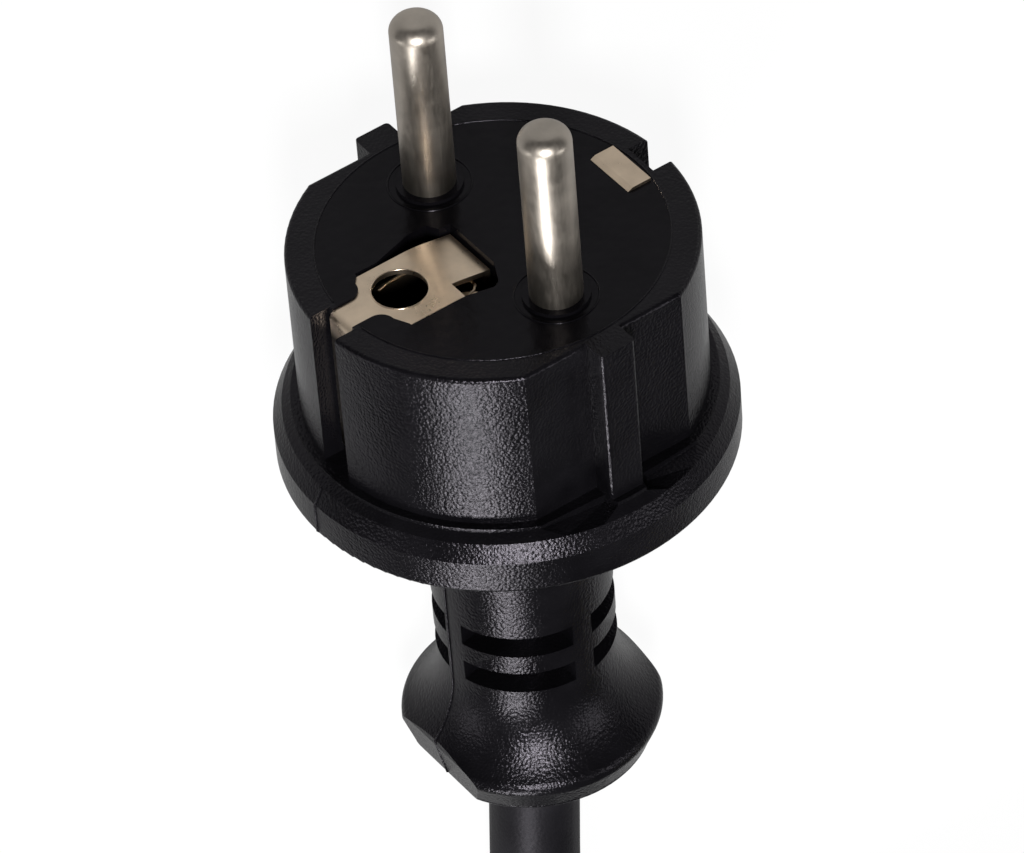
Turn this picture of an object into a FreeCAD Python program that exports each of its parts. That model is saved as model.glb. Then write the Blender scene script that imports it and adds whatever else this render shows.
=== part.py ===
"""A moulded-on mains plug with two round pins, an earth socket and side earth strips, and its lead.

Each piece is drawn in the plug's own frame: +Z runs out along the pins, z = 0 is the
face, +X points to the live pin and -Y to the earth socket. The placement lay_down then
lays every piece on its side, as the plug comes to rest on its collar and its bell.
"""
import FreeCAD, Part
import math
import os
import Sketcher
from FreeCAD import Placement, Rotation, Vector

DIMENSIONS = [
    ("pin_radius", "2.4", "round pins, 4.8 across"),
    ("pin_reach", "19", "pins stand out of the face"),
    ("pin_offset", "9.5", "each pin from the axis, 19 between them"),
    ("pin_tip_round", "1.35", "rounding of a pin's free end"),
    ("pin_shank_radius", "2.1", "pins inside the insert"),
    ("pin_flange_radius", "2.9", "flange that the insert grips"),
    ("pin_flange_height", "3", "length of that flange"),
    ("pin_boss_radius", "3.05", "low ring of the insert round each pin"),
    ("pin_boss_height", "0.35", "height of that ring"),
    ("insert_wall", "3.2", "hard face insert past the earth socket"),
    ("insert_step", "0.4", "insert ends above the plinth by this"),
    ("ring_wall", "2.5", "rubber round the insert"),
    ("flat_wall", "0.5", "rubber on the insert at the flats"),
    ("groove_skin", "0.3", "rubber between the insert and an earth strip"),
    ("groove_width", "3.7", "side grooves"),
    ("rib_width", "3.6", "guide ribs on the flats"),
    ("rib_rise", "2.2", "guide ribs stand off the flats"),
    ("body_height", "16.3", "face to the plinth"),
    ("plinth_margin", "1.2", "plinth stands out round the body"),
    ("plinth_height", "1.7", "plinth to the collar"),
    ("collar_radius", "20.9", "round splash collar"),
    ("collar_thickness", "5.1", "collar along the axis"),
    ("bevel_width", "0.9", "bevel of the collar's upper edge, across"),
    ("bevel_height", "1.6", "the same, along the axis"),
    ("neck_radius", "8.35", "slotted neck"),
    ("neck_fillet", "1.5", "neck into the collar"),
    ("slot_start", "18.1", "collar to the first slot"),
    ("slot_height", "2.35", "slots along the axis"),
    ("slot_gap", "2.1", "web between the two rows of slots"),
    ("slot_depth", "2.3", "slots into the neck"),
    ("slot_bar_width", "2.2", "bars between neighbouring slots"),
    ("flare_start", "1", "last slot to the flare"),
    ("flare_length", "8.4", "flare along the axis"),
    ("bell_radius", "12.1", "rim of the bell"),
    ("rim_round", "1.2", "rounding of the bell's rim"),
    ("bell_foot_radius", "11.05", "foot of the bell"),
    ("bell_foot_height", "3.1", "rim to the foot"),
    ("bell_flat_distance", "10.85", "cut sides of the bell from the axis"),
    ("edge_round", "0.4", "rounding of the moulding's edges"),
    ("strip_thickness", "0.5", "sheet of the earth strips"),
    ("strip_width", "3", "earth strips in the grooves"),
    ("strip_bend", "0.8", "outer bend radius of the strips"),
    ("plate_reach_left", "3.7", "earth plate with the hole, to the left of its middle"),
    ("plate_reach_right", "4.35", "the same, to the right"),
    ("plate_depth", "0.2", "earth plate below the face"),
    ("plate_slope_drop", "0.7", "inner end of the plate dips by this"),
    ("plate_slope_length", "4.1", "length of that dip"),
    ("fold_margin", "1.4", "plate past the hole, inwards to its fold"),
    ("fold_ease", "1.1", "half of the fold's rounded length"),
    ("plate_notch_width", "2.05", "corner cut out of the plate"),
    ("plate_tab_height", "5", "turned-down end of the plate"),
    ("earth_offset", "10", "earth socket from the axis"),
    ("earth_hole_radius", "2.5", "earth socket"),
    ("earth_socket_depth", "15", "earth socket below the face"),
    ("plate_margin", "3.4", "plate past the hole's centre, outwards"),
    ("recess_gap", "0.25", "gap round the earth plate"),
    ("recess_bulge", "1.2", "recess past the plate on the left, half as much on the right"),
    ("recess_depth", "9", "recess under the earth plate"),
    ("lobe_radius", "1.4", "lobes of the insert beside the plate's neck"),
    ("spring_thickness", "0.35", "leaf of the earth spring"),
    ("spring_clearance", "0.02", "leaf outside the socket's bore by this"),
    ("spring_step", "0.9", "spring's arms end below the plate by this"),
    ("spring_arm_end", "5.3", "from the axis to where the arms curl out"),
    ("spring_curl_radius", "0.8", "curled ends of the leaves"),
    ("clip_width", "5.6", "turned-in end of the rear strip"),
    ("clip_length", "2.5", "the same, towards the axis"),
    ("clip_rise", "0.3", "the same, above the face"),
    ("bridge_width", "5", "strap that joins the earth strips"),
    ("crimp_radius", "1.75", "crimp barrels"),
    ("crimp_length", "3.3", "crimp barrels along the axis"),
    ("wire_radius", "0.8", "bare copper strands of a core"),
    ("core_radius", "1.45", "insulated cores"),
    ("core_bend_radius", "2", "bends of the cores inside the plug"),
    ("elbow_offset", "3.4", "cores come in to this distance before the neck"),
    ("elbow_depth", "1.3", "that elbow past the collar"),
    ("sheath_end", "36", "face to the end of the sheath"),
    ("cord_diameter", "8.5", "rubber lead"),
    ("cord_yaw", "4", "lead's first run on the floor turns out by this angle"),
    ("coil_yaw", "6", "lead's last run turns in by this angle"),
    ("floor_run", "31", "each of those two runs"),
    ("coil_radius", "43", "middle turn of the coil"),
    ("way_in_gap", "0.9", "lead's last run to the coil's second turn"),
    ("tail_start_angle", "240", "where the sheath ends, round the coil"),
    ("tail_length", "30", "stripped cores at the free end"),
    ("ferrule_length", "8", "wire end sleeves"),
    ("ferrule_radius", "1.05", "wire end sleeves"),
    ("ferrule_mouth_radius", "1.35", "wide mouth of the sleeves"),
    ("tie_angle", "195", "where the tie sits, round the coil"),
    ("tie_width", "10", "tie round the coil"),
    ("tie_thickness", "0.5", "tie round the coil"),
    ("rest_shift", "0", "along the plug, set below from its shape"),
    ("rest_lift", "0", "above the floor, set below from its shape"),
]

# the side of the plug that looks up when it lies, measured round the axis from +X
UPPER_SIDE = -32.5

# levels along the axis, all below the face
INSERT_DEPTH = "(sizes.body_height - sizes.insert_step)"
PLINTH_FOOT = "(sizes.body_height + sizes.plinth_height)"
COLLAR_FOOT = f"({PLINTH_FOOT} + sizes.collar_thickness)"
SLOT_1 = f"({COLLAR_FOOT} + sizes.slot_start)"
SLOT_2 = f"({SLOT_1} + sizes.slot_height + sizes.slot_gap)"
FLARE_TOP = f"({SLOT_2} + sizes.slot_height + sizes.flare_start)"
RIM = f"({FLARE_TOP} + sizes.flare_length)"
PLUG_FOOT = f"({RIM} + sizes.bell_foot_height)"

# distances from the axis
INSERT_RADIUS = "(sizes.earth_offset + sizes.earth_hole_radius + sizes.insert_wall)"
BODY_RADIUS = f"({INSERT_RADIUS} + sizes.ring_wall)"
FLAT_DISTANCE = f"({INSERT_RADIUS} + sizes.flat_wall)"
GROOVE_FLOOR = f"({INSERT_RADIUS} + sizes.groove_skin)"
RIB_REACH = f"({FLAT_DISTANCE} + sizes.rib_rise)"
STRIP_REACH = f"({GROOVE_FLOOR} + sizes.strip_thickness)"
PAST_BODY = f"({BODY_RADIUS} + 2 * sizes.rib_rise)"

doc = FreeCAD.newDocument("plug")
sheet = doc.addObject("Spreadsheet::Sheet", "sizes")
cells = {}
for row, (alias, value, meaning) in enumerate(DIMENSIONS, start=1):
    cells[alias] = f"B{row}"
    sheet.set(f"A{row}", meaning)
    sheet.set(cells[alias], value)
    sheet.setAlias(cells[alias], alias)
doc.recompute()


def size(expression):
    """Value of an expression on the sheet, as a plain number."""
    if not isinstance(expression, str):
        return float(expression)
    value = sheet.evalExpression(expression)
    return float(getattr(value, "Value", value))


def new_body(label):
    body = doc.addObject("PartDesign::Body", label)
    body.Label = label
    return body


def new_sketch(body, name, plane, level="0"):
    """An empty sketch on one of the body's own planes, moved along the plane's normal."""
    sketch = body.newObject("Sketcher::SketchObject", name)
    origin_plane = next(f for f in body.Origin.OriginFeatures if f.Role == plane)
    sketch.AttachmentSupport = (origin_plane, [""])
    sketch.MapMode = "FlatFace"
    if level != "0":
        sketch.setExpression("AttachmentOffset.Base.z", level)
    doc.recompute()
    return sketch


def add_outline(sketch, corners):
    """A closed outline; a corner is (x, y) or (x, y, radius, side) for an arc that leads to the next one.

    Every corner is held by its distances from the origin, as expressions on the sheet. The
    side is 1 for an arc that turns left on its way and -1 for one that turns right.
    """
    points = [Vector(size(c[0]), size(c[1]), 0) for c in corners]
    count = len(corners)
    pieces = []
    for i, corner in enumerate(corners):
        start = points[i]
        end = points[(i + 1) % count]
        if len(corner) == 2:
            pieces.append((sketch.addGeometry(Part.LineSegment(start, end), False), 1, 2))
            continue
        radius = size(corner[2])
        chord = end - start
        rise = math.sqrt(max(radius**2 - chord.Length**2 / 4, 0))
        across = Vector(-chord.y, chord.x, 0).normalize()
        centre = (start + end) * 0.5 + across * rise * corner[3]
        first = math.atan2(start.y - centre.y, start.x - centre.x)
        last = math.atan2(end.y - centre.y, end.x - centre.x)
        circle = Part.Circle(centre, Vector(0, 0, 1), radius)
        if corner[3] > 0:
            arc = sketch.addGeometry(Part.ArcOfCircle(circle, first, last), False)
            pieces.append((arc, 1, 2))
        else:
            arc = sketch.addGeometry(Part.ArcOfCircle(circle, last, first), False)
            pieces.append((arc, 2, 1))
        index = sketch.addConstraint(Sketcher.Constraint("Radius", arc, radius))
        sketch.setExpression(f"Constraints[{index}]", str(corner[2]))
    for i, (piece, begin, _) in enumerate(pieces):
        before, _, end = pieces[i - 1]
        sketch.addConstraint(Sketcher.Constraint("Coincident", before, end, piece, begin))
        for kind, expression in (("DistanceX", corners[i][0]), ("DistanceY", corners[i][1])):
            held = Sketcher.Constraint(kind, -1, 1, piece, begin, size(expression))
            index = sketch.addConstraint(held)
            sketch.setExpression(f"Constraints[{index}]", str(expression))


def add_rectangle(sketch, low_x, low_y, high_x, high_y):
    add_outline(sketch, [(low_x, low_y), (high_x, low_y), (high_x, high_y), (low_x, high_y)])


def add_circle(sketch, x, y, radius):
    centre = Vector(size(x), size(y), 0)
    circle = sketch.addGeometry(Part.Circle(centre, Vector(0, 0, 1), size(radius)), False)
    for constraint, expression in (
        (Sketcher.Constraint("DistanceX", -1, 1, circle, 3, centre.x), x),
        (Sketcher.Constraint("DistanceY", -1, 1, circle, 3, centre.y), y),
        (Sketcher.Constraint("Radius", circle, size(radius)), radius),
    ):
        index = sketch.addConstraint(constraint)
        sketch.setExpression(f"Constraints[{index}]", str(expression))


def pad(body, name, sketch, length, downward=False, both_ways=False):
    feature = body.newObject("PartDesign::Pad", name)
    feature.Profile = sketch
    feature.setExpression("Length", length)
    feature.Reversed = downward
    feature.Midplane = both_ways
    doc.recompute()
    return feature


def pocket(body, name, sketch, depth, upward=False, both_ways=False):
    """A pocket that has to take material away."""
    before = body.Shape.Volume
    feature = body.newObject("PartDesign::Pocket", name)
    feature.Profile = sketch
    feature.setExpression("Length", depth)
    feature.Reversed = upward
    feature.Midplane = both_ways
    doc.recompute()
    if not body.Shape.Volume < before:
        raise RuntimeError(f"{name} cuts nothing from {body.Label}")
    return feature


def turn(body, name, sketch):
    """A full turn of the sketch about its own vertical axis, the plug's axis."""
    feature = body.newObject("PartDesign::Revolution", name)
    feature.Profile = sketch
    feature.ReferenceAxis = (sketch, ["V_Axis"])
    feature.Angle = 360
    doc.recompute()
    return feature


def round_edges(body, name, radius, chosen):
    """Rounds those edges of the body's last feature that the test picks."""
    names = [f"Edge{i}" for i, edge in enumerate(body.Shape.Edges, start=1) if chosen(edge)]
    if not names:
        raise RuntimeError(f"{name} finds no edge on {body.Label}")
    before = body.Tip
    feature = body.newObject("PartDesign::Fillet", name)
    feature.Base = (before, names)
    feature.setExpression("Radius", radius)
    doc.recompute()
    if not feature.isValid():
        raise RuntimeError(f"{name} fails on {body.Label}")
    return feature


def at_level(edge, level):
    box = edge.BoundBox
    return abs(box.ZMin - level) < 1e-4 and abs(box.ZMax - level) < 1e-4


def is_rib_edge(edge):
    """True for the upright edges at the outer side of a guide rib."""
    box = edge.BoundBox
    reach = size(RIB_REACH)
    upright = box.ZLength > size("sizes.plinth_height") and box.XLength + box.YLength < 1e-4
    return upright and abs(abs(box.XMin) - reach) < 1e-4


def tube_shape(points, diameter, bend_radius=None):
    """A round tube along straight runs that tangent arcs join; prints its radii if none is given."""
    runs = [b - a for a, b in zip(points, points[1:])]
    edges = []
    radii = []
    here = points[0]
    for corner, before, after in zip(points[1:-1], runs, runs[1:]):
        half_turn = before.getAngle(after) / 2
        radius = bend_radius or 0.45 * min(before.Length, after.Length) / math.tan(half_turn)
        trim = radius * math.tan(half_turn)
        start = corner - Vector(before).normalize() * trim
        end = corner + Vector(after).normalize() * trim
        inward = (Vector(after).normalize() - Vector(before).normalize()).normalize()
        middle = corner + inward * (radius / math.cos(half_turn) - radius)
        edges.append(Part.LineSegment(here, start).toShape())
        edges.append(Part.Arc(start, middle, end).toShape())
        radii.append(radius)
        here = end
    edges.append(Part.LineSegment(here, points[-1]).toShape())
    path = Part.Wire(edges)
    ring = Part.Wire(Part.makeCircle(diameter / 2, points[0], runs[0]))
    tube = path.makePipeShell([ring], True, False)
    section = math.pi * diameter**2 / 4
    print("tube", round(path.Length, 1), "mm, radii", [round(r) for r in radii],
          "volume against section times length", round(tube.Volume / (section * path.Length), 4))
    return tube


def add_shape(label, shape):
    """A piece whose shape is made here; it is laid down with the plug."""
    piece = doc.addObject("Part::Feature", label)
    piece.Label = label
    piece.Shape = shape
    piece.setExpression("Placement", "lay_down.Placement")
    return piece


def take_away(label, base, tools):
    """The base without the tools, which are other pieces that it is moulded round."""
    hollow = doc.addObject("Part::Cut", label)
    hollow.Label = label
    hollow.Base = base
    if len(tools) == 1:
        hollow.Tool = tools[0]
    else:
        joined = doc.addObject("Part::Compound", label + "_tools")
        joined.Links = tools
        hollow.Tool = joined
    doc.recompute()
    return hollow


# the placement that lays the plug on its collar and the rim of its bell
lay_down = doc.addObject("App::Placement", "lay_down")
OVERHANG = "(sizes.collar_radius - sizes.edge_round - sizes.bell_radius + sizes.rim_round)"
SPAN = f"({RIM} - {COLLAR_FOOT} + sizes.edge_round)"
ROUND_STEP = "(sizes.edge_round - sizes.rim_round)"
LEAN = f"(atan({OVERHANG} / {SPAN}) + asin({ROUND_STEP} / hypot({OVERHANG}; {SPAN})))"
lay_down.setExpression(
    "Placement",
    f"placement(vector(0; sizes.rest_shift; sizes.rest_lift); rotation(vector(1; 0; 0); 90 deg - {LEAN})"
    f" * rotation(vector(0; 0; 1); {90 - UPPER_SIDE} deg))",
)
doc.recompute()


def lay(body):
    body.setExpression("Placement", "lay_down.Placement")
    return body


def make_pin(label, side):
    """A solid brass pin with a flange in the insert and a crimp barrel at its inner end."""
    body = new_body(label)
    sketch = new_sketch(body, label + "_outline", "XZ_Plane")
    flange_top = f"-({INSERT_DEPTH} - sizes.pin_flange_height) / 2"
    flange_foot = f"-({INSERT_DEPTH} + sizes.pin_flange_height) / 2"
    back = f"-{INSERT_DEPTH}"
    crimp_foot = f"-({INSERT_DEPTH} + sizes.crimp_length)"
    add_outline(sketch, [
        ("0", "sizes.pin_reach"),
        ("0", crimp_foot),
        ("sizes.crimp_radius", crimp_foot),
        ("sizes.crimp_radius", back),
        ("sizes.pin_shank_radius", back),
        ("sizes.pin_shank_radius", flange_foot),
        ("sizes.pin_flange_radius", flange_foot),
        ("sizes.pin_flange_radius", flange_top),
        ("sizes.pin_shank_radius", flange_top),
        ("sizes.pin_shank_radius", "sizes.pin_boss_height"),
        ("sizes.pin_radius", "sizes.pin_boss_height"),
        ("sizes.pin_radius", "sizes.pin_reach - sizes.pin_tip_round", "sizes.pin_tip_round", 1),
        ("sizes.pin_radius - sizes.pin_tip_round", "sizes.pin_reach"),
    ])
    sketch.setExpression("AttachmentOffset.Base.x", f"{side} * sizes.pin_offset")
    doc.recompute()
    turn(body, label + "_turned", sketch)
    bore = new_sketch(body, label + "_crimp_bore", "XY_Plane", crimp_foot)
    add_circle(bore, f"{side} * sizes.pin_offset", "0", "sizes.wire_radius")
    pocket(body, label + "_crimp_hollow", bore, "sizes.crimp_length - sizes.wire_radius", upward=True)
    return lay(body)


def make_outer_form():
    """The rubber moulding's outside, with the space for the insert."""
    body = new_body("outer_form")
    sketch = new_sketch(body, "body_round", "XY_Plane")
    add_circle(sketch, "0", "0", BODY_RADIUS)
    pad(body, "body_block", sketch, "sizes.body_height", downward=True)

    sides = new_sketch(body, "body_sides", "XY_Plane")
    for side in (1, -1):
        near, far = f"{side} * {FLAT_DISTANCE}", f"{side} * {PAST_BODY}"
        add_rectangle(sides, near, f"-{PAST_BODY}", far, PAST_BODY)
    pocket(body, "flats", sides, "sizes.body_height")
    round_edges(body, "face_rounding", "sizes.edge_round", lambda edge: at_level(edge, 0))
    grooves = new_sketch(body, "groove_outline", "XY_Plane")
    for side in (1, -1):
        near, far = f"{side} * {GROOVE_FLOOR}", f"{side} * {PAST_BODY}"
        add_rectangle(grooves, "-sizes.groove_width / 2", near, "sizes.groove_width / 2", far)
    pocket(body, "grooves", grooves, "sizes.body_height")
    tongue_way = new_sketch(body, "tongue_outline", "XY_Plane")
    inside = f"-({INSERT_RADIUS} - sizes.ring_wall)"
    add_rectangle(tongue_way, f"-{NECK_HALF}", f"-{PAST_BODY}", NECK_HALF, inside)
    pocket(body, "way_for_tongue", tongue_way, "sizes.plate_depth + sizes.strip_bend")

    ribs = new_sketch(body, "rib_outline", "XY_Plane")
    for side in (1, -1):
        add_rectangle(ribs, f"{side} * ({INSERT_RADIUS} - sizes.flat_wall)", "-sizes.rib_width / 2",
                      f"{side} * {RIB_REACH}", "sizes.rib_width / 2")
    pad(body, "guide_ribs", ribs, PLINTH_FOOT, downward=True)
    round_edges(body, "rib_rounding", "sizes.edge_round", is_rib_edge)

    plinth = new_sketch(body, "plinth_round", "XY_Plane", "-sizes.body_height")
    add_circle(plinth, "0", "0", f"{BODY_RADIUS} + sizes.plinth_margin")
    pad(body, "plinth_block", plinth, "sizes.plinth_height", downward=True)
    trimmed = new_sketch(body, "plinth_sides", "XY_Plane", "-sizes.body_height")
    for side in (1, -1):
        for end in (1, -1):
            add_rectangle(trimmed, f"{side} * ({FLAT_DISTANCE} + sizes.plinth_margin)",
                          f"{end} * sizes.rib_width / 2", f"{side} * {PAST_BODY}", f"{end} * {PAST_BODY}")
    pocket(body, "plinth_flats", trimmed, "sizes.plinth_height")

    turned = new_sketch(body, "turned_outline", "XZ_Plane")
    add_outline(turned, [
        ("0", f"-{PLINTH_FOOT}"),
        ("0", f"-{PLUG_FOOT}"),
        ("sizes.bell_foot_radius - sizes.edge_round", f"-{PLUG_FOOT}", "sizes.edge_round", 1),
        ("sizes.bell_foot_radius", f"-({PLUG_FOOT} - sizes.edge_round)"),
        (f"{RIM_MIDDLE} + sizes.rim_round * cos({RIM_LOW})", f"-({RIM} + sizes.rim_round * sin({RIM_LOW}))",
         "sizes.rim_round", 1),
        (f"{RIM_MIDDLE} + sizes.rim_round * cos({RIM_HIGH})", f"-({RIM} - sizes.rim_round * sin({RIM_HIGH}))",
         FLARE_RADIUS, -1),
        ("sizes.neck_radius", f"-{FLARE_TOP}"),
        ("sizes.neck_radius", f"-({COLLAR_FOOT} + sizes.neck_fillet)", "sizes.neck_fillet", -1),
        ("sizes.neck_radius + sizes.neck_fillet", f"-{COLLAR_FOOT}"),
        ("sizes.collar_radius - sizes.edge_round", f"-{COLLAR_FOOT}", "sizes.edge_round", 1),
        ("sizes.collar_radius", f"-({COLLAR_FOOT} - sizes.edge_round)"),
        ("sizes.collar_radius", f"-({PLINTH_FOOT} + sizes.bevel_height)"),
        ("sizes.collar_radius - sizes.bevel_width", f"-{PLINTH_FOOT}"),
    ])
    turn(body, "collar_neck_and_bell", turned)

    slots = new_sketch(body, "slot_sections", "XZ_Plane")
    slots.AttachmentOffset = Placement(Vector(0, 0, 0), Rotation(Vector(0, 1, 0), 45))
    for top in (SLOT_1, SLOT_2):
        add_rectangle(slots, "sizes.neck_radius - sizes.slot_depth", f"-({top} + sizes.slot_height)",
                      "sizes.neck_radius + sizes.slot_depth", f"-{top}")
    groove = body.newObject("PartDesign::Groove", "neck_slots")
    groove.Profile = slots
    groove.ReferenceAxis = (slots, ["V_Axis"])
    groove.Midplane = True
    groove.setExpression("Angle", "90 deg - 2 * asin(sizes.slot_bar_width / 2 / sizes.neck_radius)")
    doc.recompute()
    before = body.Shape.Volume
    round_the_neck = body.newObject("PartDesign::PolarPattern", "slots_round_the_neck")
    round_the_neck.Originals = [groove]
    round_the_neck.Axis = (slots, ["V_Axis"])
    round_the_neck.Angle = 360
    round_the_neck.Occurrences = 4
    body.Tip = round_the_neck
    doc.recompute()
    if not body.Shape.Volume < before:
        raise RuntimeError("the neck's slots aren't repeated")

    cut_sides = new_sketch(body, "bell_sides", "XY_Plane", f"-{PLUG_FOOT}")
    for side in (1, -1):
        add_rectangle(cut_sides, "-2 * sizes.bell_radius", f"{side} * sizes.bell_flat_distance",
                      "2 * sizes.bell_radius", f"{side} * 2 * sizes.bell_radius")
    pocket(body, "bell_flats", cut_sides, "sizes.bell_foot_height + sizes.flare_length", upward=True)

    seat = new_sketch(body, "insert_seat", "XY_Plane")
    add_circle(seat, "0", "0", INSERT_RADIUS)
    pocket(body, "space_for_insert", seat, INSERT_DEPTH)
    return lay(body)


# the bell's rim is an arc between these two angles, down to the foot and up to the flare
RIM_LOW = "20 deg"
RIM_HIGH = "45 deg"
RIM_MIDDLE = "(sizes.bell_radius - sizes.rim_round)"

# the flare is one arc that leaves the neck along the axis
FLARE_RISE = f"({RIM_MIDDLE} + sizes.rim_round * cos({RIM_HIGH}) - sizes.neck_radius)"
FLARE_RUN = f"(sizes.flare_length - sizes.rim_round * sin({RIM_HIGH}))"
FLARE_RADIUS = f"(({FLARE_RUN} * {FLARE_RUN} + {FLARE_RISE} * {FLARE_RISE}) / 2 / {FLARE_RISE})"

# the outlines of the earth plate and of the recess under it, seen from the pins' side
PLATE_LEFT = "(-sizes.plate_reach_left)"
PLATE_RIGHT = "sizes.plate_reach_right"
NOTCH = "(sizes.plate_reach_right - sizes.plate_notch_width)"
PLATE_OUTER = "(-(sizes.earth_offset + sizes.plate_margin))"
NECK_HALF = "(sizes.strip_width / 2)"
PLATE_FOLD = "(-(sizes.earth_offset - sizes.earth_hole_radius - sizes.fold_margin))"
PLATE_INNER = f"({PLATE_FOLD} + sizes.plate_slope_length)"
SPRING_OUTER = "(sizes.earth_hole_radius + sizes.spring_clearance + sizes.spring_thickness)"
SPRING_BACK = "(-(sizes.earth_offset + sizes.earth_hole_radius + 1.5 * sizes.spring_thickness))"
STRIP_FOOT = f"(-({INSERT_DEPTH} + sizes.strip_thickness))"


def make_insert_form():
    """The hard face insert before the metal parts are set into it."""
    body = new_body("insert_form")
    disc = new_sketch(body, "insert_round", "XY_Plane")
    add_circle(disc, "0", "0", INSERT_RADIUS)
    pad(body, "insert_block", disc, INSERT_DEPTH, downward=True)
    bosses = new_sketch(body, "pin_bosses", "XY_Plane")
    for side in (1, -1):
        add_circle(bosses, f"{side} * sizes.pin_offset", "0", "sizes.pin_boss_radius")
    pad(body, "rings_round_pins", bosses, "sizes.pin_boss_height")

    recess = new_sketch(body, "recess_outline", "XY_Plane")
    left = f"({PLATE_LEFT} - sizes.recess_gap)"
    right = f"({PLATE_RIGHT} + sizes.recess_gap)"
    outer = f"({PLATE_OUTER} + sizes.lobe_radius)"
    inner = f"({PLATE_INNER} + sizes.recess_gap)"
    bulge = "sizes.recess_bulge"
    add_outline(recess, [
        (left, outer),
        (right, outer),
        (right, PLATE_FOLD),
        (f"{right} + {bulge} / 2", f"{inner} - 1.6 * {bulge}", bulge, 1),
        (f"{right} - {bulge} / 4", f"{inner} - 0.7 * {bulge}"),
        (f"{NOTCH} + sizes.recess_gap", inner),
        (left, inner),
        (left, f"{inner} - {bulge}"),
        (f"{left} - {bulge}", f"{inner} - 1.5 * {bulge}"),
        (f"{left} - {bulge}", f"{PLATE_FOLD} + {bulge} / 2"),
        (left, f"{PLATE_FOLD} - 3 * {bulge}"),
    ])
    pocket(body, "recess_under_plate", recess, "sizes.recess_depth")
    seat = new_sketch(body, "plate_seat_outline", "XY_Plane")
    neck = {1: NECK_HALF, -1: f"-{NECK_HALF}"}
    add_outline(seat, [
        (PLATE_LEFT, f"{outer} + sizes.recess_gap"),
        (PLATE_LEFT, outer),
        (f"-({NECK_HALF} + sizes.lobe_radius)", f"{PLATE_OUTER} + sizes.lobe_radius / 2", "sizes.lobe_radius", -1),
        (neck[-1], f"{PLATE_OUTER} - sizes.lobe_radius / 2"),
        (neck[-1], f"-({INSERT_RADIUS} + sizes.ring_wall)"),
        (neck[1], f"-({INSERT_RADIUS} + sizes.ring_wall)"),
        (neck[1], f"{PLATE_OUTER} - sizes.lobe_radius / 2", "sizes.lobe_radius", -1),
        (f"{NECK_HALF} + sizes.lobe_radius", f"{PLATE_OUTER} + sizes.lobe_radius / 2"),
        (PLATE_RIGHT, outer),
        (PLATE_RIGHT, f"{outer} + sizes.recess_gap"),
    ])
    pocket(body, "seat_for_plate", seat, "sizes.plate_depth + sizes.strip_thickness")
    well = new_sketch(body, "well_outline", "XY_Plane", "-(sizes.plate_depth + sizes.strip_thickness)")
    add_rectangle(well, f"-({SPRING_OUTER} + sizes.recess_gap)", f"{SPRING_BACK} - sizes.recess_gap",
                  f"{SPRING_OUTER} + sizes.recess_gap", f"{outer} + sizes.recess_gap")
    pocket(body, "well_for_spring", well, "sizes.recess_depth - sizes.plate_depth - sizes.strip_thickness")
    socket = new_sketch(body, "earth_socket_round", "XY_Plane")
    add_circle(socket, "0", "-sizes.earth_offset", "sizes.earth_hole_radius")
    pocket(body, "earth_socket", socket, "sizes.earth_socket_depth")
    return lay(body)


def strip_section(side, start):
    """Side view of an earth strip, from its turned-in start over the edge, down the groove and back in.

    The start is the list of its upper points, from the axis outwards, each with its own lower point.
    """
    bend = "sizes.strip_bend"
    inner_bend = f"({bend} - sizes.strip_thickness)"
    top = start[-1][0][1]
    under = start[-1][1][1]
    out = f"{side} * {STRIP_REACH}"
    back = f"{side} * {GROOVE_FLOOR}"
    tail_end = f"{side} * sizes.strip_width"
    upper = [point for point, _ in start]
    lower = [point for _, point in reversed(start)]
    return (
        upper[:-1]
        + [(f"{side} * ({STRIP_REACH} - {bend})", top, bend, -side)]
        + [(out, f"{top} - {bend}")]
        + [(out, f"{STRIP_FOOT} + {bend}", bend, -side)]
        + [(f"{side} * ({STRIP_REACH} - {bend})", STRIP_FOOT)]
        + [(tail_end, STRIP_FOOT), (tail_end, f"{STRIP_FOOT} + sizes.strip_thickness")]
        + [(f"{side} * ({STRIP_REACH} - {bend})", f"{STRIP_FOOT} + sizes.strip_thickness", inner_bend, side)]
        + [(back, f"{STRIP_FOOT} + {bend}")]
        + [(back, f"{top} - {bend}", inner_bend, side)]
        + [(f"{side} * ({STRIP_REACH} - {bend})", under)]
        + lower[1:]
    )


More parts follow.
